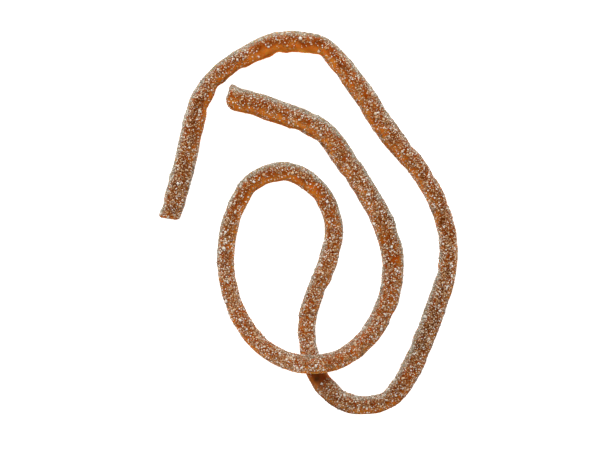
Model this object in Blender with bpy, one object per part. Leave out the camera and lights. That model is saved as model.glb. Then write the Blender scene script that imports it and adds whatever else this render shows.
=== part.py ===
"""A sugared cola gummy string: one soft strand that lies in a loose loop and passes over itself once.

The strand is a skin of rings along a smooth route. It rests on a flattened underside, rises in a low
hump where it crosses itself, creases on the inside of its bends, and is cut square at both ends.
Its sugar coat stands on it as a close relief of uneven tips, and the coarsest crystals are fused to it.
All sizes below are in millimetres.
"""

import math
import random

import bmesh
import bpy
import numpy as np
from mathutils import Euler, Matrix, Vector

MM = 0.001
NODE = "gummy_string"

# Centreline seen from above, from the slim cut end to the thick one, about the middle of the string's box.
LEFT_ARM = ((-36.3, 1.7), (-31.5, 19.1), (-26.1, 35.9))
TOP_ARCH = ((-12.3, 45.5), (-7.5, 47.1), (-1.4, 47.1), (3.3, 46.1), (7.5, 42.3))
RIGHT_SIDE = ((15.5, 31.5), (21.3, 22.8), (27.8, 15.0), (36.2, -9.9), (33.4, -20.6), (27.2, -36.3))
BOTTOM_TURN = ((19.9, -46.0), (9.2, -46.2))
MIDDLE_RUN = ((-0.4, -24.9), (2.3, -16.3), (6.0, 1.9))
INNER_LOOP = ((-5.5, 13.4), (-14.7, 10.7), (-19.0, 4.2), (-20.9, -16.4), (-8.0, -34.5))
INNER_ARM = ((8.7, -34.6), (15.0, -29.7), (21.8, -10.3), (8.2, 18.3), (3.8, 23.7), (-2.4, 27.0), (-21.2, 33.1))
ROUTE = LEFT_ARM + TOP_ARCH + RIGHT_SIDE + BOTTOM_TURN + MIDDLE_RUN + INNER_LOOP + INNER_ARM

# (distance along the string, thickness there): drawn out thin in the inner loop, thickest at its last end.
THICKNESS = (
    (0, 5.3), (12, 5.5), (28, 5.2), (42, 4.65), (51, 5.2), (60, 5.45), (70, 4.8), (80, 5.3), (108, 5.0),
    (128, 4.5), (145, 5.0), (172, 4.9), (178, 4.6), (192, 4.95), (212, 4.3), (229, 4.8), (238, 4.45),
    (246, 4.75), (256, 4.75), (280, 4.35), (305, 4.25),
    (330, 4.6), (350, 5.1), (366, 5.5), (385, 5.45), (405, 5.7), (431, 5.9),
)

# The underside lies flat at this share of the radius below the centre.
FLAT_SHARE = 0.93

# Where the string passes over itself.
HUMP_REACH = 30.0
CROSSING_GAP = 0.12

# A cut end is rounded by this much at its rim, and the thick end by more on its lower side.
CUT_ROUND = 0.6
WORN_ROUND = 2.2

# The slim end is cut askew: how much longer its left side is than its right, as a slope, and how far that reaches.
SLIM_SLANT = 0.15
SLANT_REACH = 9.0

# Small waves of the skin: (share of the radius, wavelength along the string, turns around it).
SKIN_WAVES = ((0.016, 23.0, 0), (0.018, 11.0, 1), (0.014, 7.3, 2), (0.012, 5.1, 1), (0.009, 3.9, 3))

# Creases pinched into the inside of a bend: (distance along, depth); the side is the bend's own.
CREASES = ((30, 0.28), (37, 0.38), (45, 0.3), (56.5, 0.42), (70, 0.42), (78, 0.2), (176, 0.22), (188, 0.25),
           (246, 0.22), (257, 0.12), (268, 0.15), (276, 0.2), (404, 0.3), (411, 0.2))
# Dents elsewhere, and swellings where the depth is negative: (distance along, depth, degrees round from its left).
DENTS = (
    (3.0, 0.35, 0), (49.5, 0.15, 175), (65, -0.2, 180), (92, 0.25, 10), (104, 0.3, 0), (113, 0.28, 0),
    (121, 0.25, 0), (131, -0.2, 180), (139, 0.2, 180), (160, 0.25, 180), (206, 0.25, 0), (213, -0.2, 0),
    (221, 0.3, 180), (231, 0.24, 180), (300, 0.2, 180), (352, 0.26, 180), (372, 0.22, 190), (391, 0.24, 0),
    (424, 0.2, 0), (430.3, -0.35, 180),
)
PINCH_LENGTH = 1.5
PINCH_SPREAD = math.radians(62)

# How finely the skin is laid out.
SIDES = 14
RING_STEP = 2.2
CUT_STEPS = (0.0, 0.12, 0.4, 1.0)

# The sugar coat: each facet is raised to a tip of one of these heights, set off its middle by up to this share.
TIP_HEIGHTS = (0.02, 0.12, 0.2, 0.32)
TIP_STEEPNESS = 0.24
TIP_OFFSET = 0.55
FACES_DOWN = -0.8

# The coarsest sugar crystals, spread evenly but kept off the underside and out of the crossing.
CRYSTALS = 52
CRYSTAL_EDGE = (0.7, 1.0)
CRYSTAL_STOCKY = 0.75
CRYSTAL_SUNK = 0.1
UNDERSIDE_BARE = math.radians(60)
CROSSING_BARE = 4.4
SUGAR_SEED = 11

GUMMY_COLOUR = (0.34, 0.15, 0.07, 1.0)
GUMMY_ROUGHNESS = 0.55
SHARP_ANGLE = math.radians(32)


def smooth_through(knots, values, at):
    """Natural cubic curve through values at the knots, read at other places along them."""
    knots = np.asarray(knots, float)
    values = np.asarray(values, float)
    step = np.diff(knots)
    slope = np.diff(values, axis=0) / (step if values.ndim == 1 else step[:, None])
    system = np.eye(len(knots))
    right = np.zeros_like(values)
    for i in range(1, len(knots) - 1):
        system[i, i - 1:i + 2] = step[i - 1], 2 * (step[i - 1] + step[i]), step[i]
        right[i] = 6 * (slope[i] - slope[i - 1])
    bend = np.linalg.solve(system, right)
    i = np.clip(np.searchsorted(knots, at) - 1, 0, len(knots) - 2)
    width, left = step[i], at - knots[i]
    rest = knots[i + 1] - at
    if values.ndim > 1:
        width, left, rest = width[:, None], left[:, None], rest[:, None]
    return (
        bend[i] * rest**3 / (6 * width)
        + bend[i + 1] * left**3 / (6 * width)
        + (values[i] / width - bend[i] * width / 6) * rest
        + (values[i + 1] / width - bend[i + 1] * width / 6) * left
    )


def lengths_along(points):
    """Distance along a line of points, at each of them."""
    return np.concatenate([[0.0], np.cumsum(np.linalg.norm(np.diff(points, axis=0), axis=1))])


class Route:
    """The string's centreline as a smooth plan, with its thickness and its height over the floor."""

    def __init__(self):
        guide = np.array(ROUTE, float)
        knots = lengths_along(guide)
        dense = smooth_through(knots, guide, np.linspace(0, knots[-1], 4001))
        self.dense = dense
        self.along = lengths_along(dense)
        self.length = self.along[-1]
        self.heading = np.unwrap(np.arctan2(np.gradient(dense[:, 1]), np.gradient(dense[:, 0])))
        self.under, self.over = self.crossing()
        self.lift = (1 + FLAT_SHARE) * self.radius(self.under)[0] + CROSSING_GAP

    def plan(self, at):
        return np.stack([np.interp(at, self.along, self.dense[:, k]) for k in (0, 1)], axis=-1)

    def direction(self, at):
        return np.interp(at, self.along, self.heading)

    def turn_side(self, at):
        """1 where the string bends to its left, -1 where it bends to its right."""
        return np.sign(self.direction(at + 2) - self.direction(at - 2))

    def radius(self, at):
        station, thickness = np.array(THICKNESS, float).T
        return smooth_through(station, thickness, np.clip(np.atleast_1d(at), 0, station[-1])) / 2

    def crossing(self):
        """Distances along at which the plan meets itself, the lower pass first."""
        coarse = np.arange(0, self.length, 1.0)
        points = self.plan(coarse)
        apart = np.linalg.norm(points[:, None] - points[None], axis=2)
        apart[np.abs(coarse[:, None] - coarse[None]) < 8 * CROSSING_BARE] = np.inf
        first, second = np.unravel_index(apart.argmin(), apart.shape)
        fine = np.linspace(-1.5, 1.5, 61)
        a, b = coarse[first] + fine, coarse[second] + fine
        apart = np.linalg.norm(self.plan(a)[:, None] - self.plan(b)[None], axis=2)
        i, j = np.unravel_index(apart.argmin(), apart.shape)
        return sorted((a[i], b[j]))

    def at_crossing(self, at):
        return min(abs(at - self.under), abs(at - self.over)) < CROSSING_BARE

    def height(self, at):
        """Centre height: lying on the flat, or a heavy strand's own curve where it is held up off the floor."""
        near = np.clip(1 - np.abs(at - self.over) / HUMP_REACH, 0, 1)
        return FLAT_SHARE * self.radius(at) + self.lift * (4 * near**3 - 3 * near**4)


def skin_share(at, around):
    """How far the skin stands in or out at a place, as a share of the radius, from its waves."""
    share = 0.0
    for i, (size, wavelength, turns) in enumerate(SKIN_WAVES):
        share = share + size * np.sin(math.tau * at / wavelength + turns * around + 2.4 * i)
    return share


def pinch(route, at, around):
    """How deep creases and dents press the skin in at a place, in millimetres."""
    pressed = 0.0
    pinches = [(place, depth, 0.0 if route.turn_side(place) > 0 else math.pi) for place, depth in CREASES]
    pinches += [(place, depth, math.radians(side)) for place, depth, side in DENTS]
    for place, depth, side in pinches:
        lengthwise = (at - place) / PINCH_LENGTH
        off = (around - side + math.pi) % math.tau - math.pi
        # A groove with a low swell on both sides of it.
        groove = (1 - 0.5 * lengthwise**2) * np.exp(-0.5 * lengthwise**2)
        pressed = pressed + depth * groove * np.exp(-0.5 * (off / PINCH_SPREAD) ** 2)
    return pressed


def end_rounding(route, at, around, radius):
    """What the rounded rims of the two cut ends take off the radius, in millimetres."""
    lower_side = 0.5 + 0.5 * np.cos(around + 0.15)
    slim_rim = CUT_ROUND + 0.0 * around
    thick_rim = CUT_ROUND + (WORN_ROUND - CUT_ROUND) * lower_side**2
    taken = 0.0
    for rim, inward in ((slim_rim, at), (thick_rim, route.length - at)):
        inward = np.clip(inward, 0, rim)
        taken = taken + rim - np.sqrt(np.maximum(rim**2 - (rim - inward) ** 2, 0))
    return np.minimum(taken, 0.9 * radius)


def skin_point(route, at, around):
    """Points of the skin, in millimetres; around is 0 on the string's left side and a quarter turn on top."""
    at, around = np.broadcast_arrays(np.asarray(at, float), np.asarray(around, float))
    flat_at = at.ravel()
    radius = route.radius(flat_at).reshape(at.shape)
    plan = route.plan(flat_at).reshape(*at.shape, 2)
    heading = route.direction(flat_at).reshape(at.shape)
    height = route.height(flat_at).reshape(at.shape)
    reach = radius * (1 + skin_share(at, around)) - pinch(route, at, around)
    reach = reach - end_rounding(route, at, around, radius)
    sideways = reach * np.cos(around)
    upward = np.maximum(reach * np.sin(around), -FLAT_SHARE * radius)
    forward = -SLIM_SLANT * (radius + sideways) * np.clip(1 - at / SLANT_REACH, 0, 1)
    x = plan[..., 0] - np.sin(heading) * sideways + np.cos(heading) * forward
    y = plan[..., 1] + np.cos(heading) * sideways + np.sin(heading) * forward
    return np.stack([x, y, height + upward], axis=-1)


def raise_tips(mesh, route, facets):
    """Raises each four-sided facet of the skin to its own tip, but for the underside and the crossing."""
    draw = random.Random(SUGAR_SEED)
    mesh.normal_update()
    for facet, at in facets:
        if facet.normal.z < FACES_DOWN or route.at_crossing(at):
            continue
        corners = list(facet.verts)
        middle = facet.calc_center_median()
        height = min(draw.choice(TIP_HEIGHTS) * MM, TIP_STEEPNESS * math.sqrt(facet.calc_area()))
        foot = middle.lerp(draw.choice(corners).co, draw.uniform(0.0, TIP_OFFSET))
        tip = mesh.verts.new(foot + facet.normal * height)
        mesh.faces.remove(facet)
        for a, b in zip(corners, corners[1:] + corners[:1]):
            mesh.faces.new((a, b, tip))


def strand_mesh(route):
    """The strand as one closed skin of rings, with a fan over each cut end."""
    rings = int(round((route.length - 2 * WORN_ROUND) / RING_STEP))
    middle = np.linspace(WORN_ROUND, route.length - WORN_ROUND, rings + 1)
    rim = np.array(CUT_STEPS[:-1]) * WORN_ROUND
    stations = np.concatenate([rim, middle, route.length - rim[::-1]])
    around = math.tau * np.arange(SIDES) / SIDES
    points = skin_point(route, stations[:, None], around[None])
    mesh = bmesh.new()
    rows = [[mesh.verts.new(p * MM) for p in ring] for ring in points]
    facets = []
    for before, after, at in zip(rows, rows[1:], stations):
        for i in range(SIDES):
            j = (i + 1) % SIDES
            facets.append((mesh.faces.new((before[i], before[j], after[j], after[i])), at))
    for ring in (rows[0], rows[-1]):
        hub = mesh.verts.new(sum((v.co for v in ring), Vector()) / SIDES)
        for i in range(SIDES):
            mesh.faces.new((hub, ring[i], ring[(i + 1) % SIDES]))
    bmesh.ops.recalc_face_normals(mesh, faces=mesh.faces)
    raise_tips(mesh, route, facets)
    bmesh.ops.triangulate(mesh, faces=mesh.faces)
    data = bpy.data.meshes.new(NODE)
    mesh.to_mesh(data)
    mesh.free()
    return data


def crystal_places(route):
    """Evenly spread places on the skin, as (distance along, angle around), by a two-step golden sequence."""
    spread = 1.32471795724
    places = []
    i = 0
    while len(places) < CRYSTALS:
        i += 1
        at = (0.5 + i / spread) % 1 * route.length
        around = (0.5 + i / spread**2) % 1 * math.tau
        from_below = abs((around + math.pi / 2 + math.pi) % math.tau - math.pi)
        near_cut = min(at, route.length - at) < WORN_ROUND
        if from_below > UNDERSIDE_BARE and not route.at_crossing(at) and not near_cut:
            places.append((at, around))
    return places


def add_crystals(route, collection):
    """Small blocks of sugar, each sunk a little over half its depth into the skin and turned at random."""
    draw = random.Random(SUGAR_SEED)
    for i, (at, around) in enumerate(crystal_places(route)):
        hub = Vector((*route.plan(at), route.height(at)[0])) * MM
        place = Vector(skin_point(route, at, around) * MM)
        place -= (place - hub).normalized() * CRYSTAL_SUNK * MM
        edge = draw.uniform(*CRYSTAL_EDGE) * MM
        size = Matrix.Diagonal([edge * draw.uniform(CRYSTAL_STOCKY, 1.0) for _ in range(3)]).to_4x4()
        turn = Euler([draw.uniform(0, math.tau) for _ in range(3)]).to_matrix().to_4x4()
        block = bmesh.new()
        bmesh.ops.create_cube(block, size=1.0, matrix=Matrix.Translation(place) @ turn @ size)
        data = bpy.data.meshes.new(f"crystal_{i}")
        block.to_mesh(data)
        block.free()
        collection.objects.link(bpy.data.objects.new(data.name, data))


def fuse(target, collection):
    """Joins all the collection's blocks to the target by one union, and removes them."""
    union = target.modifiers.new("sugar", "BOOLEAN")
    union.operation = "UNION"
    union.operand_type = "COLLECTION"
    union.collection = collection
    union.solver = "EXACT"
    bpy.context.view_layer.objects.active = target
    bpy.ops.object.modifier_apply(modifier=union.name)
    for block in list(collection.objects):
        bpy.data.objects.remove(block, do_unlink=True)
    bpy.data.collections.remove(collection)


def gummy_material():
    material = bpy.data.materials.new("sugared_gummy")
    material.use_nodes = True
    shader = material.node_tree.nodes["Principled BSDF"]
    shader.inputs["Base Color"].default_value = GUMMY_COLOUR
    shader.inputs["Roughness"].default_value = GUMMY_ROUGHNESS
    shader.inputs["Metallic"].default_value = 0.0
    return material


def clear_scene():
    for thing in list(bpy.data.objects):
        bpy.data.objects.remove(thing, do_unlink=True)


def build():
    clear_scene()
    route = Route()
    strand = bpy.data.objects.new(NODE, strand_mesh(route))
    bpy.context.scene.collection.objects.link(strand)
    sugar = bpy.data.collections.new("sugar")
    bpy.context.scene.collection.children.link(sugar)
    add_crystals(route, sugar)
    fuse(strand, sugar)
    strand.data.materials.append(gummy_material())
    strand.data.shade_smooth()
    strand.data.set_sharp_from_angle(angle=SHARP_ANGLE)


build()
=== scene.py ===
"""A sugared cola gummy string: one translucent brown strand in loose loops under a patchy coat of sugar.

The strand follows the solid's own route, and the sugar lies on it as three pieces: coarse, medium and fine
crystals. Sizes are in millimetres unless a name or a comment says otherwise. A place on the string is its
distance along, from the slim cut end, and its angle round, from the left side over the top.
"""

import itertools
import math

import bmesh
import bpy
import numpy as np
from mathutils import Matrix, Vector, noise


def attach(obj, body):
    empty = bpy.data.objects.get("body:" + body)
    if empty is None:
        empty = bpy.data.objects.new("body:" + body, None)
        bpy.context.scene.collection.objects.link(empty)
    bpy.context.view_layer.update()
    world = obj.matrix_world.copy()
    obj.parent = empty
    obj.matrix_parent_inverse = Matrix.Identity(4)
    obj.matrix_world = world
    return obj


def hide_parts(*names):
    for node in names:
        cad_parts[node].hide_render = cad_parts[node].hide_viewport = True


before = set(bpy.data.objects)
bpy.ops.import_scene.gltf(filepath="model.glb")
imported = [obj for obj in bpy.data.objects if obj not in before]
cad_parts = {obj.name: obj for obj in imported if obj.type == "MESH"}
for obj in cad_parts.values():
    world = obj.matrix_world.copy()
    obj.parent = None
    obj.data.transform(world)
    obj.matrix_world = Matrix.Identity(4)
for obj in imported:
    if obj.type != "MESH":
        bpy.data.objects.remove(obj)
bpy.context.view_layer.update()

MM = 0.001
TINY = 1e-9
NODE = "gummy_string"

# Centreline seen from above, from the slim cut end to the thick one, as in the solid.
LEFT_ARM = ((-36.3, 1.7), (-31.5, 19.1), (-26.1, 35.9))
TOP_ARCH = ((-12.3, 45.5), (-7.5, 47.1), (-1.4, 47.1), (3.3, 46.1), (7.5, 42.3))
RIGHT_SIDE = ((15.5, 31.5), (21.3, 22.8), (27.8, 15.0), (36.2, -9.9), (33.4, -20.6), (27.2, -36.3))
BOTTOM_TURN = ((19.9, -46.0), (9.2, -46.2))
MIDDLE_RUN = ((-0.4, -24.9), (2.3, -16.3), (6.0, 1.9))
INNER_LOOP = ((-5.5, 13.4), (-14.7, 10.7), (-19.0, 4.2), (-20.9, -16.4), (-8.0, -34.5))
INNER_ARM = (
    (8.7, -34.6), (15.0, -29.7), (21.8, -10.3), (8.2, 18.3), (3.8, 23.7), (-2.4, 27.0), (-21.2, 33.1),
)
ROUTE = LEFT_ARM + TOP_ARCH + RIGHT_SIDE + BOTTOM_TURN + MIDDLE_RUN + INNER_LOOP + INNER_ARM

# How finely the centreline is kept, how far to each side its turn is read, and the rough and then the close
# search for the place where it crosses itself.
ROUTE_POINTS = 4001
TURN_SPAN = 2.0
CROSSING_STEP = 1.0
CROSSING_REACH = 1.5
CROSSING_STEPS = 61

# (distance along the string, thickness there).
THICKNESS = (
    (0, 5.3), (12, 5.5), (28, 5.2), (42, 4.65), (51, 5.2), (60, 5.45), (70, 4.8), (80, 5.3), (108, 5.0),
    (128, 4.5), (145, 5.0), (172, 4.9), (178, 4.6), (192, 4.95), (212, 4.3), (229, 4.8), (238, 4.45),
    (246, 4.75), (256, 4.75), (280, 4.35), (305, 4.25),
    (330, 4.6), (350, 5.1), (366, 5.5), (385, 5.45), (405, 5.7), (431, 5.9),
)

# How low the pressed underside lies, as a share of the radius, and the hump that lifts one pass over the
# other: how far it reaches to each side, and the air that it leaves.
FLAT_SHARE = 0.93
HUMP_REACH = 30.0
CROSSING_GAP = 0.12

# The cut ends: how round their rims are, how far round the worn side lies, the most that rounding takes off
# the radius, as a share of it, how far the slim end is askew, how far past the end a place on the face may
# run, and the share of a face that is left for the hole in its middle.
CUT_ROUND = 0.6
WORN_ROUND = 2.2
WORN_TURN = 0.15
MOST_ROUNDED = 0.9
SLIM_SLANT = 0.15
SLANT_REACH = 9.0
CUT_FACE = 2.0
FACE_HOLE = 0.02

# Small waves of the skin: (share of the radius, wavelength along the string, turns around it).
SKIN_WAVES = ((0.016, 23.0, 0), (0.018, 11.0, 1), (0.014, 7.3, 2), (0.012, 5.1, 1), (0.009, 3.9, 3))
WAVE_SHIFT = 2.4

# Creases on the inside of the bends, as (distance along, depth), and dents, as (distance along, depth,
# degrees round). A depth below zero stands out.
CREASES = (
    (30, 0.28), (37, 0.38), (45, 0.3), (56.5, 0.42), (70, 0.42), (78, 0.2), (176, 0.22), (188, 0.25),
    (246, 0.22), (257, 0.12), (268, 0.15), (276, 0.2), (404, 0.3), (411, 0.2),
)
DENTS = (
    (3.0, 0.35, 0), (49.5, 0.15, 175), (65, -0.2, 180), (92, 0.25, 10), (104, 0.3, 0), (113, 0.28, 0),
    (121, 0.25, 0), (131, -0.2, 180), (139, 0.2, 180), (160, 0.25, 180), (206, 0.25, 0), (213, -0.2, 0),
    (221, 0.3, 180), (231, 0.24, 180), (300, 0.2, 180), (352, 0.26, 180), (372, 0.22, 190), (391, 0.24, 0),
    (424, 0.2, 0), (430.3, -0.35, 180),
)
PINCH_LENGTH = 1.5
PINCH_SPREAD = math.radians(62)

# The strand's mesh: points in a ring, rings in all, and how many of them lie on each cut face and on its rim.
SIDES = 46
RINGS = 1960
FACE_RINGS = 11
RIM_RINGS = 12

# How far the sugared skin swells at its sides, and the gummy's unevenness as (height, wavelength).
SIDE_SWELL = 0.12
FINE_RELIEF = ((0.05, 1.6), (0.025, 0.7))

# How far along and round the string the slope of the skin is read.
NORMAL_STEP = 0.15
NORMAL_TURN = 0.06

# The sugar: (name, how many, smallest size, largest size, corners cut off each crystal).
SUGAR_KINDS = (
    ("sugar_coarse", 1100, 0.42, 0.74, 3),
    ("sugar_medium", 9300, 0.28, 0.42, 2),
    ("sugar_fine", 16200, 0.16, 0.28, 0),
)
SUGAR_SEED = 11

# The crystals' shapes: how many there are for each kind and then, as shares of their size, how far corners
# are cut back or moved, and the stretch along each of the three axes.
SHAPES_OF_A_KIND = 16
CORNER_CUT = (0.15, 0.4)
CORNER_MOVED = 0.07
CRYSTAL_STRETCH = ((0.85, 1.2), (0.7, 1.0), (0.55, 0.85))

# How the crystals lie: how close together, how far tilted, and how deep, as shares of their height. Those on
# the sides lie deeper, by how far the skin faces up, and all of them are pressed in a little more.
GRAIN_SPACING = 0.78
GRID_CELL = 0.6
GRAIN_TILT = math.radians(24)
GRAIN_SUNK = (0.35, 0.6)
DEEPER_AT_SIDES = ((-0.35, -0.12, 0.1, 0.3), (0.0, 0.4, 0.5, 0.0))
PRESSED_IN = 0.02

# How many places are tried for each crystal, and which are left out. Near the floor that goes by the air
# wanted, the crystal's reach as a share of its size and how far its middle stands out, and at the crossing by
# the distance along and by how far the skin faces the other pass.
TRIES_FOR_EACH = 9
CLEAR_OF_FLOOR = 0.08
FLOOR_REACH = 0.55
STANDS_OUT = 0.1
CROSSING_BARE = 1.9
CROSSING_FACING = 0.1

# Spots of a look: (distance along, half length, degrees round, half spread, strength), with a strength below
# zero where the look is less. They stand for bare skin, for painted shade, for less painted glow and for more
# frost, which is partly real sugar and partly painted light.
BARE_SPOTS = (
    (10, 8.0, 135, 35, -1.1), (32, 9.0, 165, 33, 0.95), (40, 11.0, 15, 40, 0.4), (53, 4.0, 140, 42, 0.8),
    (63, 7.0, 145, 45, 0.8), (162, 14.0, 20, 40, -0.8), (342, 14.0, 160, 38, -2.2),
    (66, 12.0, 355, 30, -0.7), (72, 2.5, 105, 35, 0.5), (160, 8.0, 175, 35, -0.3), (166, 1.5, 85, 30, 0.7),
    (195.2, 1.5, 165, 45, 0.8), (196.2, 2.0, 90, 300, 1.0), (247.5, 2.6, 75, 40, 0.7),
    (258, 12.0, 175, 40, -0.5), (218, 12.0, 145, 40, -0.5), (262, 7.0, 70, 40, 0.4), (316, 8.0, 10, 35, 0.3),
    (322, 4.5, 150, 25, -2.0), (366, 1.2, 110, 26, 0.95), (403, 8.0, 125, 50, -0.35),
    (404, 16.0, 175, 35, -0.35),
)
SHADED_SPOTS = (
    (26, 7.0, 130, 35, 0.1), (42, 7.0, 30, 40, 0.2), (329, 10.0, 20, 35, 0.22),
    (63, 7.0, 165, 35, -0.8), (83, 3.0, 180, 16, 0.7), (104, 3.5, 175, 16, 0.6), (121.5, 1.1, 172, 30, 0.9),
    (154, 7.0, 80, 70, 0.2), (188, 7.0, 8, 18, 0.9), (192, 4.0, 65, 60, 0.35), (196.2, 1.9, 75, 60, 0.25),
    (196.2, 0.5, 75, 13, 0.8), (322, 4.5, 150, 30, -0.8), (347, 13.0, 150, 40, -0.8),
)
# Spots where the painted glow on the side away from the light is weaker.
DIMMER_FAR_GLOW_SPOTS = ((10, 9.0, 150, 45, 0.8), (162, 14.0, 15, 40, 0.6))
FROST_AND_LIGHT_SPOTS = (
    (10, 9.0, 150, 45, 0.8), (162, 14.0, 15, 40, 0.6),
    (30, 9.0, 170, 40, -0.9), (34, 15.0, 35, 22, 0.35), (116, 13.0, 10, 40, -0.8), (157, 7.0, 170, 45, 0.5),
    (176, 9.0, 165, 40, -0.35), (194, 4.0, 120, 90, -0.8), (205, 6.0, 60, 60, -0.7),
    (218, 14.0, 165, 45, 0.8), (258, 13.0, 175, 40, 0.4), (300, 14.0, 12, 42, -0.8), (318, 8.0, 90, 70, -0.7),
    (338, 6.0, 60, 60, -0.6), (358, 14.0, 170, 45, 0.6), (402, 9.0, 165, 50, 0.5),
)

# Chance of sugar: on plain skin, then how far patches and specks change it and how long they are, and how
# much less there is where the skin faces down, with the least that stays.
SUGAR_CHANCE = 0.8
PATCH_DEPTH = 0.35
PATCH_LENGTH = 5.0
SPECK_DEPTH = 0.3
SPECK_LENGTH = 1.3
SPECK_OFFSET = 40.0
LESS_BELOW = 1.2
LEAST_BELOW = 0.25

# Along the string: (distances, share of the sugar) and (distances, how strongly a painted glow lightens the
# gummy).
SUGAR_ALONG = (
    (0, 22, 36, 50, 66, 82, 96, 112, 125, 150, 165, 205,
     240, 255, 272, 290, 316, 330, 350, 378, 400, 420, 431),
    (1.2, 1, 0.95, 0.8, 0.65, 0.85, 1, 0.8, 0.9, 1, 1.2, 1.05,
     0.95, 0.75, 0.75, 1.1, 0.85, 1, 1, 1.2, 1.2, 1, 1),
)
PAINTED_GLOW_ALONG = (
    (0, 30, 42, 80, 110, 125, 145, 160, 168, 180, 205,
     225, 245, 270, 282, 295, 340, 356, 370, 395, 431),
    (0, 0.05, 0.35, 0.3, 0.2, 0.1, 0.1, 0, 0.1, 0.2, 0.4,
     0.35, 0.2, 0.25, 0.1, 0.4, 0.6, 0.4, 0.1, 0.25, 0.3),
)

# The side the sugar settled on, which is also the side the light comes from, as a direction in plan, the
# share of the sugar by how far the skin faces it, the least share by how far the skin faces up, and the share
# on the cut faces. The painted glow, shade and whiteness of the looks below follow this side too.
FROSTED_AND_LIT_SIDE = (-0.1, 0.995)
SUGAR_BY_SIDE = ((-0.95, -0.8, -0.6, -0.3, 0.0, 0.5), (0.06, 0.12, 0.36, 0.73, 1.0, 1.25))
SUGAR_LOW_DOWN = ((0.0, 0.3), (0.85, 0.0))
SUGAR_ON_CUTS = 0.7

# Tones of the crystals, from the dullest to the whitest, where damp with syrup, where frosted and lit, which
# is partly painted light, and where in painted shade.
MOIST_SUGAR = (
    (0.0, (0.3, 0.105, 0.03)), (0.45, (0.56, 0.275, 0.1)),
    (0.75, (0.88, 0.62, 0.38)), (0.91, (1.0, 0.95, 0.86)),
)
FROSTED_AND_LIT_SUGAR = ((0.0, (0.34, 0.28, 0.19)), (1.0, (0.84, 0.8, 0.69)))
SHADED_SUGAR = ((0.0, (0.1, 0.045, 0.015)), (1.0, (0.34, 0.21, 0.13)))
CRYSTAL_LOOKS = (("frost_and_light", FROSTED_AND_LIT_SUGAR), ("shade", SHADED_SUGAR))

# Tones of the gummy, the darker and the lighter: its own, and those that each look brings in: a painted glow
# along the string, a painted glow on the side away from the light, painted shade, and a dust that is partly
# real sugar and partly painted light on the lit side.
TONE_STOPS = (0.3, 0.7)
DEEP_TONES = ((0.085, 0.018, 0.002), (0.26, 0.057, 0.004))
GUMMY_LOOKS = (
    ("painted_glow", ((0.35, 0.061, 0.004), (0.5, 0.107, 0.008))),
    ("painted_far_glow", ((0.45, 0.114, 0.01), (0.61, 0.193, 0.024))),
    ("shade", ((0.075, 0.036, 0.013), (0.13, 0.062, 0.024))),
    ("dust_and_light", ((0.26, 0.185, 0.108), (0.36, 0.285, 0.19))),
)

# How strongly each look shows by how far the skin faces the frosted and lit side or how little it faces up.
EDGE_FROM = 0.3
# Painted glow: the gummy is lighter orange on the side away from the light and towards its sides.
EDGE_FAR_GLOW = 1.0
FAR_GLOW_BY_SIDE = ((-0.6, -0.1), (1.0, 0.0))
# Dust and frost: partly real sugar, partly painted light, whiter towards the lit side and its sides.
EDGE_FROST_AND_LIGHT = 1.6
DUST_AND_LIGHT_BY_FROSTING = ((0.4, 1.0, 1.6, 2.1), (0.0, 0.5, 0.5, 0.8))
FROST_AND_LIGHT_BY_FROSTING = ((0.3, 1.05), (0.0, 1.0))
SHADE_BY_SIDE = ((-0.62, -0.15), (0.56, 0.2))
SHADE_BY_RISE = ((-0.3, 0.0, 0.38, 0.52, 0.66), (0.3, 0.5, 0.8, 1.0, 0.0))
# Painted glow where the skin is bare of sugar.
PAINTED_GLOW_WHERE_BARE = 0.8

# The looks keep this share of themselves low on the sides, the dusty one twice over, and their edges wander:
# (how far, over what length).
LOW_DOWN = ((-0.4, 0.25), (0.35, 1.0))
WANDER = (0.22, 3.0)

# The sockets of a mixing node that carry colours: the two that it mixes, and the result.
MIX_FIRST = 6
MIX_SECOND = 7
MIX_RESULT = 2

# The gummy's patches of tone and of wetness and its grain, each as (size, detail), and how it takes light.
TONE_PATCHES = (2.2, 4.0)
WET_PATCHES = (1.1, 3.0)
GRAIN = (0.35, 2.0)
GRAIN_DEPTH = 0.05
GRAIN_STRENGTH = 0.5
GUMMY_ROUGHNESS = (0.3, 0.6)
GUMMY_IOR = 1.45
LIGHT_REACH = 1.2
LIGHT_BY_COLOUR = (1.0, 0.32, 0.1)

# The crystals' materials, as (name, clearness), and how they take light.
SUGAR_MATERIALS = {
    "sugar_coarse": ("coarse_sugar", 0.35),
    "sugar_medium": ("medium_sugar", 0.3),
    "sugar_fine": ("fine_sugar", 0.25),
}
SUGAR_ROUGHNESS = (0.12, 0.4)
SUGAR_IOR = 1.54
SUGAR_SHINE = 0.3

# The ground, its size in metres.
WHITE = (1.0, 1.0, 1.0, 1.0)
GROUND_SIZE = 4.0
GROUND_DROP = 0.05
GROUND_COLOUR = (0.92, 0.92, 0.92, 1.0)
GROUND_ROUGHNESS = 0.9
GROUND_GLOW = 1.0

# The light, in metres and watts.
KEY_PLACE = (-0.08, 0.32, 0.45)
KEY_SIZE = 0.25
KEY_WATTS = 2.9
KEY_COLOUR = (1.0, 0.98, 0.95)
SKY_STRENGTH = 0.5

# The camera: a pixel's width on the string, the eye's shift in pixels, its height and nearest sight in
# metres, the height over the ground that the pixel's width is true for, the picture's width in pixels and the
# sensor's width.
PIXEL = 0.26
EYE_SHIFT = (-4, -1.5)
EYE_HEIGHT = 0.6
NEAREST = 0.01
TRUE_HEIGHT = 2.3
PICTURE_WIDTH = 610
SENSOR_WIDTH = 36.0


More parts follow.
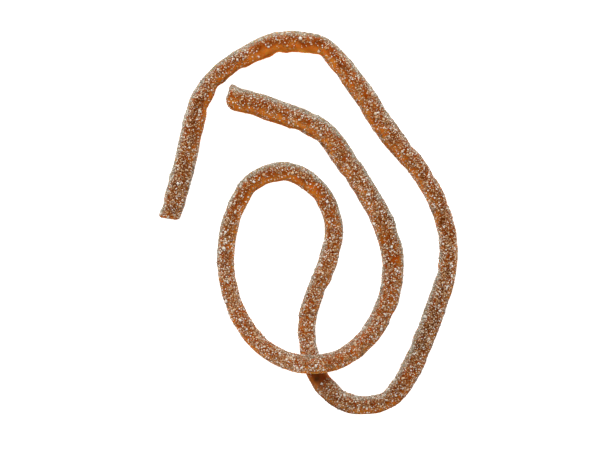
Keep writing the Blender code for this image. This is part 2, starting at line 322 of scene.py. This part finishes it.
def smooth_through(knots, values, at):
    """Natural cubic curve through values at the knots, read at other places along them."""
    knots = np.asarray(knots, float)
    values = np.asarray(values, float)
    step = np.diff(knots)
    slope = np.diff(values, axis=0) / (step if values.ndim == 1 else step[:, None])
    system = np.eye(len(knots))
    right = np.zeros_like(values)
    for i in range(1, len(knots) - 1):
        system[i, i - 1:i + 2] = step[i - 1], 2 * (step[i - 1] + step[i]), step[i]
        right[i] = 6 * (slope[i] - slope[i - 1])
    bend = np.linalg.solve(system, right)
    i = np.clip(np.searchsorted(knots, at) - 1, 0, len(knots) - 2)
    width, left = step[i], at - knots[i]
    rest = knots[i + 1] - at
    if values.ndim > 1:
        width, left, rest = width[:, None], left[:, None], rest[:, None]
    return (
        bend[i] * rest**3 / (6 * width)
        + bend[i + 1] * left**3 / (6 * width)
        + (values[i] / width - bend[i] * width / 6) * rest
        + (values[i + 1] / width - bend[i + 1] * width / 6) * left
    )


def lengths_along(points):
    """Distance along a line of points, at each of them."""
    return np.concatenate([[0.0], np.cumsum(np.linalg.norm(np.diff(points, axis=0), axis=1))])


class Route:
    """The string's centreline as a smooth plan, with its thickness and its height over the floor."""

    def __init__(self):
        guide = np.array(ROUTE, float)
        knots = lengths_along(guide)
        dense = smooth_through(knots, guide, np.linspace(0, knots[-1], ROUTE_POINTS))
        self.dense = dense
        self.along = lengths_along(dense)
        self.length = self.along[-1]
        self.heading = np.unwrap(np.arctan2(np.gradient(dense[:, 1]), np.gradient(dense[:, 0])))
        self.under, self.over = self.crossing()
        self.lift = (1 + FLAT_SHARE) * self.radius(self.under)[0] + CROSSING_GAP

    def plan(self, at):
        return np.stack([np.interp(at, self.along, self.dense[:, k]) for k in (0, 1)], axis=-1)

    def direction(self, at):
        return np.interp(at, self.along, self.heading)

    def turn_side(self, at):
        """1 where the string bends to its left, -1 where it bends to its right."""
        return np.sign(self.direction(at + TURN_SPAN) - self.direction(at - TURN_SPAN))

    def radius(self, at):
        station, thickness = np.array(THICKNESS, float).T
        return smooth_through(station, thickness, np.clip(np.atleast_1d(at), 0, station[-1])) / 2

    def crossing(self):
        """Distances along at which the plan meets itself, the lower pass first."""
        coarse = np.arange(0, self.length, CROSSING_STEP)
        points = self.plan(coarse)
        apart = np.linalg.norm(points[:, None] - points[None], axis=2)
        apart[np.abs(coarse[:, None] - coarse[None]) < HUMP_REACH] = np.inf
        first, second = np.unravel_index(apart.argmin(), apart.shape)
        fine = np.linspace(-CROSSING_REACH, CROSSING_REACH, CROSSING_STEPS)
        a, b = coarse[first] + fine, coarse[second] + fine
        apart = np.linalg.norm(self.plan(a)[:, None] - self.plan(b)[None], axis=2)
        i, j = np.unravel_index(apart.argmin(), apart.shape)
        return sorted((a[i], b[j]))

    def height(self, at):
        """Centre height: lying flat, or on a heavy strand's own curve where it is held up off the floor."""
        near = np.clip(1 - np.abs(at - self.over) / HUMP_REACH, 0, 1)
        return FLAT_SHARE * self.radius(at) + self.lift * (4 * near**3 - 3 * near**4)


def turn_from(side, around):
    """The turn from one angle round the string to another, at most half a turn either way."""
    return (around - side + math.pi) % math.tau - math.pi


def skin_share(at, around):
    """How far the skin stands in or out at a place, as a share of the radius, from its waves."""
    share = 0.0
    for i, (size, wavelength, turns) in enumerate(SKIN_WAVES):
        share = share + size * np.sin(math.tau * at / wavelength + turns * around + WAVE_SHIFT * i)
    return share


def pinch(route, at, around):
    """How deep creases and dents press the skin in at a place."""
    pressed = 0.0
    pinches = [(place, depth, 0.0 if route.turn_side(place) > 0 else math.pi) for place, depth in CREASES]
    pinches += [(place, depth, math.radians(side)) for place, depth, side in DENTS]
    for place, depth, side in pinches:
        lengthwise = (at - place) / PINCH_LENGTH
        groove = (1 - 0.5 * lengthwise**2) * np.exp(-0.5 * lengthwise**2)
        pressed = pressed + depth * groove * np.exp(-0.5 * (turn_from(side, around) / PINCH_SPREAD) ** 2)
    return pressed


def end_rounding(route, at, around, radius):
    """What the rounded rims of the two cut ends take off the radius."""
    worn_share = 0.5 + 0.5 * np.cos(around + WORN_TURN)
    thick_rim = CUT_ROUND + (WORN_ROUND - CUT_ROUND) * worn_share**2
    taken = 0.0
    for rim, inward in ((CUT_ROUND, at), (thick_rim, route.length - at)):
        inward = np.clip(inward, 0, rim)
        taken = taken + rim - np.sqrt(np.maximum(rim**2 - (rim - inward) ** 2, 0))
    return np.minimum(taken, MOST_ROUNDED * radius)


def skin_point(route, at, around):
    """Points of the skin; around is 0 on the string's left side and a quarter turn on top."""
    at, around = np.broadcast_arrays(np.asarray(at, float), np.asarray(around, float))
    flat_at = at.ravel()
    radius = route.radius(flat_at).reshape(at.shape)
    plan = route.plan(flat_at).reshape(*at.shape, 2)
    heading = route.direction(flat_at).reshape(at.shape)
    height = route.height(flat_at).reshape(at.shape)
    reach = radius * (1 + skin_share(at, around)) - pinch(route, at, around)
    reach = reach - end_rounding(route, at, around, radius) + SIDE_SWELL * np.cos(around) ** 2
    sideways = reach * np.cos(around)
    upward = np.maximum(reach * np.sin(around), -FLAT_SHARE * radius)
    forward = -SLIM_SLANT * (radius + sideways) * np.clip(1 - at / SLANT_REACH, 0, 1)
    x = plan[..., 0] - np.sin(heading) * sideways + np.cos(heading) * forward
    y = plan[..., 1] + np.cos(heading) * sideways + np.sin(heading) * forward
    return np.stack([x, y, height + upward], axis=-1)


def coat_point(route, at, around):
    """Points of the skin, going on over a cut end's face where the distance along runs past the end."""
    inside = np.clip(at, 0, route.length)
    ring = skin_point(route, inside, around)
    hub = 0.5 * (ring + skin_point(route, inside, around + math.pi))
    return hub + (ring - hub) * face_share(route, at)[..., None]


def face_share(route, at):
    """1 on the side of the strand, falling to almost 0 at the middle of a cut end's face."""
    past = np.abs(at - np.clip(at, 0, route.length))
    return np.clip(1 - past / CUT_FACE, FACE_HOLE, 1)


def coat_normal(route, at, around):
    """Outward unit normals of the skin and of the two cut faces."""
    along = coat_point(route, at + NORMAL_STEP, around) - coat_point(route, at - NORMAL_STEP, around)
    across = coat_point(route, at, around + NORMAL_TURN) - coat_point(route, at, around - NORMAL_TURN)
    normal = np.cross(across, along)
    return normal / np.maximum(np.linalg.norm(normal, axis=-1, keepdims=True), TINY)


def frosted_and_lit_facing(normal):
    """How far skin faces the frosted and lit side: 1 straight towards it, -1 straight away."""
    return normal[..., 0] * FROSTED_AND_LIT_SIDE[0] + normal[..., 1] * FROSTED_AND_LIT_SIDE[1]


def spot_strengths(spots, at, around):
    """How strongly each of some soft-edged spots shows at a place."""
    for middle, length, side, spread, strength in spots:
        lengthwise = (at - middle) / length
        crosswise = turn_from(math.radians(side), around) / math.radians(spread)
        yield strength * np.exp(-0.5 * lengthwise**2 - 0.5 * crosswise**2)


def spot_share(spots, at, around):
    """The share of a place that spots cover together; a negative spot uncovers."""
    left = 1.0
    for strength in spot_strengths(spots, at, around):
        left = left * (1 - strength)
    return 1 - left


def spot_sum(spots, at, around):
    return sum(spot_strengths(spots, at, around))


def noise_at(place, length):
    """Smooth noise with features of about that length, at points in millimetres."""
    flat = (np.asarray(place) / length).reshape(-1, 3)
    return np.array([noise.noise(p) for p in flat]).reshape(np.shape(place)[:-1])


def skin_looks(at, around, place, normal):
    """Shares of the looks at places of the skin: painted glows, painted shade, and dust and frost with
    painted light.
    """
    wander = WANDER[0] * noise_at(place, WANDER[1])
    facing = frosted_and_lit_facing(normal) + wander
    rise = normal[..., 2] + wander
    low_down = np.interp(normal[..., 2], *LOW_DOWN)
    edge = 1 - np.clip(rise, EDGE_FROM, 1)
    frosting_and_light = facing + EDGE_FROST_AND_LIGHT * edge
    shaded = np.interp(facing, *SHADE_BY_SIDE) * np.interp(rise, *SHADE_BY_RISE)
    bare = PAINTED_GLOW_WHERE_BARE * spot_share(BARE_SPOTS, at, around)
    frosty_and_lit = low_down * (1 + spot_sum(FROST_AND_LIGHT_SPOTS, at, around))
    far_glow_left = low_down * (1 - spot_share(DIMMER_FAR_GLOW_SPOTS, at, around))
    return {
        "painted_glow": np.maximum(np.interp(at, *PAINTED_GLOW_ALONG), bare),
        "painted_far_glow": far_glow_left * np.interp(facing - EDGE_FAR_GLOW * edge, *FAR_GLOW_BY_SIDE),
        "shade": np.clip(1 - (1 - low_down * shaded) * (1 - spot_share(SHADED_SPOTS, at, around)), 0, 1),
        "dust_and_light": np.clip(low_down * frosty_and_lit * np.interp(frosting_and_light, *DUST_AND_LIGHT_BY_FROSTING), 0, 1),
        "frost_and_light": np.clip(frosty_and_lit * np.interp(frosting_and_light, *FROST_AND_LIGHT_BY_FROSTING), 0, 1),
    }


def mesh_object(name, points, loops, sides_of_face):
    """A new object from points in millimetres and faces that all have the same number of corners."""
    data = bpy.data.meshes.new(name)
    data.vertices.add(len(points))
    data.vertices.foreach_set("co", (np.asarray(points) * MM).ravel())
    data.loops.add(len(loops))
    data.loops.foreach_set("vertex_index", loops)
    count = len(loops) // sides_of_face
    data.polygons.add(count)
    data.polygons.foreach_set("loop_start", np.arange(count) * sides_of_face)
    data.polygons.foreach_set("loop_total", np.full(count, sides_of_face))
    data.update(calc_edges=True)
    data.validate()
    thing = bpy.data.objects.new(name, data)
    bpy.context.scene.collection.objects.link(thing)
    return thing


def write_share(data, name, share):
    data.attributes.new(name, "FLOAT", "POINT").data.foreach_set("value", np.ravel(share))


def ring_stations(route):
    """Where the strand's rings stand: over each cut face, close together over its rim, and along the side."""
    face = -CUT_FACE * np.linspace(1, 0, FACE_RINGS + 1)[:-1]
    rim = WORN_ROUND * (1 - np.cos(np.linspace(0, math.pi / 2, RIM_RINGS + 1)))[:-1]
    start = np.concatenate([face, rim])
    middle = np.linspace(WORN_ROUND, route.length - WORN_ROUND, RINGS - 2 * len(start))
    return np.concatenate([start, middle, route.length - start[::-1]])


def ring_quads(rings):
    """Faces between neighbouring rings, as the numbers of their four points."""
    i, j = np.meshgrid(np.arange(rings - 1), np.arange(SIDES), indexing="ij")
    k = (j + 1) % SIDES
    return np.stack([i * SIDES + j, i * SIDES + k, (i + 1) * SIDES + k, (i + 1) * SIDES + j], axis=-1)


def strand(route):
    """The gummy itself as one closed skin."""
    stations = ring_stations(route)
    turns = math.tau * np.arange(SIDES) / SIDES
    at, around = np.broadcast_arrays(stations[:, None], turns[None])
    points = coat_point(route, at, around)
    normal = coat_normal(route, at, around)
    looks = skin_looks(at, around, points, normal)
    relief = sum(height * noise_at(points, wavelength) for height, wavelength in FINE_RELIEF)
    points = points + normal * relief[..., None]
    points[..., 2] = np.maximum(points[..., 2], 0)
    thing = mesh_object("gummy_strand", points.reshape(-1, 3), ring_quads(len(stations)).ravel(), 4)
    for name, _ in GUMMY_LOOKS:
        write_share(thing.data, name, looks[name])
    close_ends(thing.data, len(stations))
    thing.data.shade_smooth()
    return thing


def close_ends(data, rings):
    """Closes the small holes in the middle of the two cut faces, and turns every face outward."""
    mesh = bmesh.new()
    mesh.from_mesh(data)
    mesh.verts.ensure_lookup_table()
    ends = [[mesh.verts[first + j] for j in range(SIDES)] for first in (0, (rings - 1) * SIDES)]
    for ring in ends:
        hub = mesh.verts.new(sum((v.co for v in ring), Vector()) / SIDES)
        for a, b in zip(ring, ring[1:] + ring[:1]):
            mesh.faces.new((hub, a, b))
    bmesh.ops.recalc_face_normals(mesh, faces=mesh.faces)
    mesh.to_mesh(data)
    mesh.free()


def crystal_corners(mesh, draw, cut_corners):
    """Adds the points of a slightly skewed block of unit size with some corners cut off."""
    corners = [Vector((x, y, z)) for x in (-0.5, 0.5) for y in (-0.5, 0.5) for z in (-0.5, 0.5)]
    cut = set(draw.choice(8, cut_corners, replace=False).tolist())
    for i, corner in enumerate(corners):
        if i in cut:
            for axis in range(3):
                moved = corner.copy()
                moved[axis] *= 1 - 2 * draw.uniform(*CORNER_CUT)
                mesh.verts.new(moved)
        else:
            mesh.verts.new(corner + Vector(draw.uniform(-CORNER_MOVED, CORNER_MOVED, 3)))


def crystal_shape(draw, cut_corners):
    """One convex crystal about the origin, as its points and its three-cornered faces."""
    mesh = bmesh.new()
    crystal_corners(mesh, draw, cut_corners)
    hull = bmesh.ops.convex_hull(mesh, input=mesh.verts)
    inside = [part for part in hull["geom_interior"] if isinstance(part, bmesh.types.BMVert)]
    bmesh.ops.delete(mesh, geom=inside, context="VERTS")
    bmesh.ops.triangulate(mesh, faces=mesh.faces)
    bmesh.ops.recalc_face_normals(mesh, faces=mesh.faces)
    mesh.verts.index_update()
    points = np.array([v.co for v in mesh.verts])
    faces = np.array([[v.index for v in f.verts] for f in mesh.faces])
    mesh.free()
    return points, faces


def sugar_density(route, at, around, place, normal):
    """Chance that a crystal sticks at a place: patchy, thin underneath, fuller towards the frosted side."""
    chance = SUGAR_CHANCE + PATCH_DEPTH * noise_at(place, PATCH_LENGTH)
    chance = chance + SPECK_DEPTH * noise_at(place + SPECK_OFFSET, SPECK_LENGTH)
    chance = chance * np.clip(1 + LESS_BELOW * normal[:, 2], LEAST_BELOW, 1)
    by_side = np.interp(frosted_and_lit_facing(normal), *SUGAR_BY_SIDE)
    by_side = np.maximum(by_side, np.interp(normal[:, 2], *SUGAR_LOW_DOWN))
    by_side = np.where(face_share(route, at) < 1, SUGAR_ON_CUTS, by_side)
    chance = chance * by_side * np.interp(at, *SUGAR_ALONG)
    return chance * (1 - spot_share(BARE_SPOTS, at, around)) * face_share(route, at)


def near_crossing(route, at, normal):
    """Where a crystal would stand between the two passes at the crossing."""
    under = (np.abs(at - route.under) < CROSSING_BARE) & (normal[:, 2] > CROSSING_FACING)
    over = (np.abs(at - route.over) < CROSSING_BARE) & (normal[:, 2] < -CROSSING_FACING)
    return under | over


def too_close(grid, spot, size):
    """Whether a crystal would crowd one that is already in the grid; if not, it is entered there."""
    x, y, z = spot.tolist()
    home = (int(x // GRID_CELL), int(y // GRID_CELL), int(z // GRID_CELL))
    for cell in itertools.product(*((k - 1, k, k + 1) for k in home)):
        for other_x, other_y, other_z, other_size in grid.get(cell, ()):
            need = GRAIN_SPACING * 0.5 * (size + other_size)
            if (x - other_x) ** 2 + (y - other_y) ** 2 + (z - other_z) ** 2 < need * need:
                return True
    grid.setdefault(home, []).append((x, y, z, size))
    return False


def chosen_places(place, normal, good, draw):
    """(kind, place's number, size) of each crystal, largest first, clear of each other and of the floor."""
    grid = {}
    chosen = []
    queue = iter(np.nonzero(good)[0].tolist())
    for kind, (_, count, least, most, _) in enumerate(SUGAR_KINDS):
        sizes = np.sort(least + (most - least) * draw.uniform(0, 1, count) ** 2)[::-1]
        placed = 0
        while placed < count:
            i = next(queue, None)
            if i is None:
                break
            size = sizes[placed]
            if place[i, 2] + normal[i, 2] * STANDS_OUT < CLEAR_OF_FLOOR + FLOOR_REACH * size:
                continue
            if too_close(grid, place[i], size):
                continue
            chosen.append((kind, i, size))
            placed += 1
    return chosen


def grain_frames(normal, draw):
    """Three axes for each crystal: turned at random about the normal, and tilted a little off it."""
    count = len(normal)
    lean = np.tan(draw.uniform(0, GRAIN_TILT, count))
    side = np.cross(normal, draw.normal(size=(count, 3)))
    side /= np.linalg.norm(side, axis=1, keepdims=True)
    up = normal + side * lean[:, None]
    up /= np.linalg.norm(up, axis=1, keepdims=True)
    across = np.cross(up, draw.normal(size=(count, 3)))
    across /= np.linalg.norm(across, axis=1, keepdims=True)
    return np.stack([across, np.cross(up, across), up], axis=1)


def joined_crystals(name, shapes, pick, stretch, axes, centre):
    """One piece of all the crystals of a kind, and for each of its points the crystal that it is on."""
    points, loops, owners, start = [], [], [], 0
    for n, (shape_points, shape_faces) in enumerate(shapes):
        those = np.nonzero(pick == n)[0]
        local = shape_points[None] * stretch[those][:, None]
        world = np.einsum("nij,njk->nik", local, axes[those]) + centre[those][:, None]
        world[..., 2] = np.maximum(world[..., 2], 0)
        points.append(world.reshape(-1, 3))
        owners.append(np.repeat(those, len(shape_points)))
        offset = start + np.arange(len(those)) * len(shape_points)
        loops.append((shape_faces[None] + offset[:, None, None]).ravel())
        start += len(those) * len(shape_points)
    thing = mesh_object(name, np.concatenate(points), np.concatenate(loops), 3)
    return thing, np.concatenate(owners)


def sugar_piece(name, cut_corners, size, place, normal, deeper, draw):
    """The crystals of one kind on their places, and for each of their points the crystal that it is on."""
    count = len(size)
    shapes = [crystal_shape(draw, cut_corners) for _ in range(SHAPES_OF_A_KIND)]
    axes = grain_frames(normal, draw)
    stretch = size[:, None] * np.stack([draw.uniform(*span, count) for span in CRYSTAL_STRETCH], axis=1)
    sunk = (draw.uniform(*GRAIN_SUNK, count) + deeper) * stretch[:, 2]
    centre = place + normal * (0.5 * stretch[:, 2] - sunk - PRESSED_IN)[:, None]
    pick = draw.integers(0, len(shapes), count)
    return joined_crystals(name, shapes, pick, stretch, axes, centre)


def sugar(route):
    """Every crystal of the coat, joined into one piece for each kind."""
    draw = np.random.default_rng(SUGAR_SEED)
    tries = TRIES_FOR_EACH * sum(kind[1] for kind in SUGAR_KINDS)
    at = draw.uniform(-CUT_FACE, route.length + CUT_FACE, tries)
    around = draw.uniform(0, math.tau, tries)
    place = coat_point(route, at, around)
    normal = coat_normal(route, at, around)
    good = draw.uniform(0, 1, tries) < sugar_density(route, at, around, place, normal)
    chosen = chosen_places(place, normal, good & ~near_crossing(route, at, normal), draw)
    deeper = np.where(face_share(route, at) < 1, 0.0, np.interp(normal[:, 2], *DEEPER_AT_SIDES))
    looks = skin_looks(at, around, place, normal)
    pieces = []
    for kind, (name, _, _, _, cut_corners) in enumerate(SUGAR_KINDS):
        where = np.array([i for k, i, _ in chosen if k == kind])
        size = np.array([s for k, _, s in chosen if k == kind])
        on_skin = (place[where], normal[where], deeper[where])
        thing, owners = sugar_piece(name, cut_corners, size, *on_skin, draw)
        for look, _ in CRYSTAL_LOOKS:
            write_share(thing.data, look, looks[look][where[owners]])
        print(name, len(where), "crystals,", len(thing.data.polygons), "faces")
        pieces.append(thing)
    return pieces


def new_material(name):
    material = bpy.data.materials.new(name)
    material.use_nodes = True
    tree = material.node_tree
    return material, tree, tree.nodes["Principled BSDF"]


def noise_node(tree, coordinates, size, detail):
    """A noise whose features are about that many millimetres across."""
    node = tree.nodes.new("ShaderNodeTexNoise")
    node.inputs["Scale"].default_value = 1 / (size * MM)
    node.inputs["Detail"].default_value = detail
    tree.links.new(coordinates, node.inputs["Vector"])
    return node.outputs["Fac"]


def ramp_node(tree, source, stops):
    """Colours that a source of shares picks from, given as (share, colour)."""
    node = tree.nodes.new("ShaderNodeValToRGB")
    for i, (place, colour) in enumerate(stops):
        stop = node.color_ramp.elements[i] if i < 2 else node.color_ramp.elements.new(place)
        stop.position = place
        stop.color = (*colour, 1.0)
    tree.links.new(source, node.inputs["Fac"])
    return node.outputs["Color"]


def mix_colours(tree, share, first, second):
    """Blends two colours by a share, and gives the socket of the result."""
    node = tree.nodes.new("ShaderNodeMix")
    node.data_type = "RGBA"
    tree.links.new(share, node.inputs["Factor"])
    tree.links.new(first, node.inputs[MIX_FIRST])
    tree.links.new(second, node.inputs[MIX_SECOND])
    return node.outputs[MIX_RESULT]


def attribute_share(tree, name):
    node = tree.nodes.new("ShaderNodeAttribute")
    node.attribute_name = name
    return node.outputs["Fac"]


def vary_roughness(tree, shader, source, span):
    """Lets a source of shares run the roughness from one end of a span to the other."""
    node = tree.nodes.new("ShaderNodeMapRange")
    node.inputs["To Min"].default_value = span[0]
    node.inputs["To Max"].default_value = span[1]
    tree.links.new(source, node.inputs["Value"])
    tree.links.new(node.outputs["Result"], shader.inputs["Roughness"])


def gummy_colour(tree, coordinates):
    """The gummy's own tones, in soft patches, with each look blended in: painted glow, painted shade, and
    dust with painted light.
    """
    tone = noise_node(tree, coordinates, *TONE_PATCHES)
    colour = ramp_node(tree, tone, zip(TONE_STOPS, DEEP_TONES))
    for name, tones in GUMMY_LOOKS:
        ramp = ramp_node(tree, tone, zip(TONE_STOPS, tones))
        colour = mix_colours(tree, attribute_share(tree, name), colour, ramp)
    return colour


def grain_bump(tree, coordinates):
    """A fine grain in the gummy's skin, as the socket of its bent normals."""
    bump = tree.nodes.new("ShaderNodeBump")
    bump.inputs["Strength"].default_value = GRAIN_STRENGTH
    bump.inputs["Distance"].default_value = GRAIN_DEPTH * MM
    tree.links.new(noise_node(tree, coordinates, *GRAIN), bump.inputs["Height"])
    return bump.outputs["Normal"]


def gummy_material():
    """Translucent cola gummy: light enters, spreads and comes out orange, over painted glow and shade."""
    material, tree, shader = new_material("cola_gummy")
    coordinates = tree.nodes.new("ShaderNodeTexCoord").outputs["Object"]
    tree.links.new(gummy_colour(tree, coordinates), shader.inputs["Base Color"])
    vary_roughness(tree, shader, noise_node(tree, coordinates, *WET_PATCHES), GUMMY_ROUGHNESS)
    tree.links.new(grain_bump(tree, coordinates), shader.inputs["Normal"])
    shader.inputs["Subsurface Weight"].default_value = 1.0
    shader.inputs["Subsurface Radius"].default_value = LIGHT_BY_COLOUR
    shader.inputs["Subsurface Scale"].default_value = LIGHT_REACH * MM
    shader.inputs["IOR"].default_value = GUMMY_IOR
    shader.inputs["Specular IOR Level"].default_value = 0.0
    return material


def sugar_material(name, clearness):
    """Sugar crystals: each with its own tone, partly clear, whitest with frost and painted light, darker in
    painted shade.
    """
    material, tree, shader = new_material(name)
    island = tree.nodes.new("ShaderNodeNewGeometry").outputs["Random Per Island"]
    colour = ramp_node(tree, island, MOIST_SUGAR)
    for look, tones in CRYSTAL_LOOKS:
        colour = mix_colours(tree, attribute_share(tree, look), colour, ramp_node(tree, island, tones))
    tree.links.new(colour, shader.inputs["Base Color"])
    vary_roughness(tree, shader, island, SUGAR_ROUGHNESS)
    shader.inputs["Transmission Weight"].default_value = clearness
    shader.inputs["IOR"].default_value = SUGAR_IOR
    shader.inputs["Specular IOR Level"].default_value = SUGAR_SHINE
    return material


def floor():
    """A plain white ground that fills the view and stays almost free of shadow."""
    bpy.ops.mesh.primitive_plane_add(size=GROUND_SIZE, location=(0, 0, -GROUND_DROP * MM))
    ground = bpy.context.object
    ground.name = "ground"
    material, _, shader = new_material("white_ground")
    shader.inputs["Base Color"].default_value = GROUND_COLOUR
    shader.inputs["Roughness"].default_value = GROUND_ROUGHNESS
    shader.inputs["Emission Color"].default_value = WHITE
    shader.inputs["Emission Strength"].default_value = GROUND_GLOW
    ground.data.materials.append(material)


def key_light():
    """A soft light from beyond the top of the picture, turned to the part."""
    lamp = bpy.data.lights.new("key", "AREA")
    lamp.shape = "DISK"
    lamp.size = KEY_SIZE
    lamp.energy = KEY_WATTS
    lamp.color = KEY_COLOUR
    thing = bpy.data.objects.new("key", lamp)
    thing.location = KEY_PLACE
    thing.rotation_euler = (-Vector(KEY_PLACE)).to_track_quat("-Z", "Y").to_euler()
    bpy.context.scene.collection.objects.link(thing)


def even_sky():
    """White light from all around, with colours shown as they are."""
    world = bpy.data.worlds.new("studio")
    world.use_nodes = True
    background = world.node_tree.nodes["Background"]
    background.inputs["Color"].default_value = WHITE
    background.inputs["Strength"].default_value = SKY_STRENGTH
    bpy.context.scene.world = world
    bpy.context.scene.view_settings.view_transform = "Standard"


def camera_above():
    """A camera straight above, at the picture's own scale."""
    pixel = PIXEL * MM
    camera = bpy.data.cameras.new("camera")
    camera.sensor_width = SENSOR_WIDTH
    camera.lens = SENSOR_WIDTH * (EYE_HEIGHT - TRUE_HEIGHT * MM) / (PICTURE_WIDTH * pixel)
    camera.clip_start = NEAREST
    eye = bpy.data.objects.new("camera", camera)
    eye.location = (EYE_SHIFT[0] * pixel, EYE_SHIFT[1] * pixel, EYE_HEIGHT)
    bpy.context.scene.collection.objects.link(eye)
    bpy.context.scene.camera = eye


def build():
    route = Route()
    body = strand(route)
    body.data.materials.append(gummy_material())
    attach(body, "root")
    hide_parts(NODE)
    materials = {piece: sugar_material(*made_of) for piece, made_of in SUGAR_MATERIALS.items()}
    for piece in sugar(route):
        piece.data.materials.append(materials[piece.name])
        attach(piece, "root")
    floor()
    key_light()
    even_sky()
    camera_above()


build()
